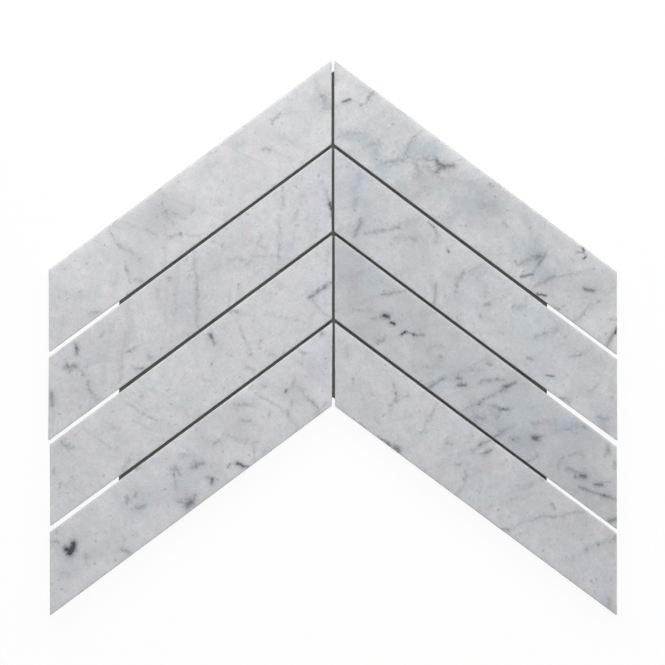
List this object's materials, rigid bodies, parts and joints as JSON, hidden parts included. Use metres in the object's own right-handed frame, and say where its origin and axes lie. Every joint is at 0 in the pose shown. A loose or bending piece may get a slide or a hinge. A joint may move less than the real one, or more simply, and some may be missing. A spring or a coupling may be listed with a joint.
{
  "type": "chevron mosaic wall tile sheet",
  "caption": "Chevron mosaic sheet of honed white marble strips with grey veins, mitred in mirrored wings with fine open joints, on a thin net bedded in adhesive.",
  "frame": {"origin": "middle of the sheet's outline, on the underside of the net", "axes": "+Z out of the honed face, away from the wall; +Y up the wall, towards the peak of the chevron; +X to the right, seen from the front"},
  "size_m": [0.3214, 0.3142, 0.0106],
  "materials": {
    "marble": "honed",
    "net": "matte"
  },
  "bodies": {
    "root": {"net_backing": "net", "strip_left_1": "marble", "strip_left_2": "marble", "strip_left_3": "marble", "strip_left_4": "marble", "strip_right_1": "marble", "strip_right_2": "marble", "strip_right_3": "marble", "strip_right_4": "marble"}
  },
  "joints": []
}
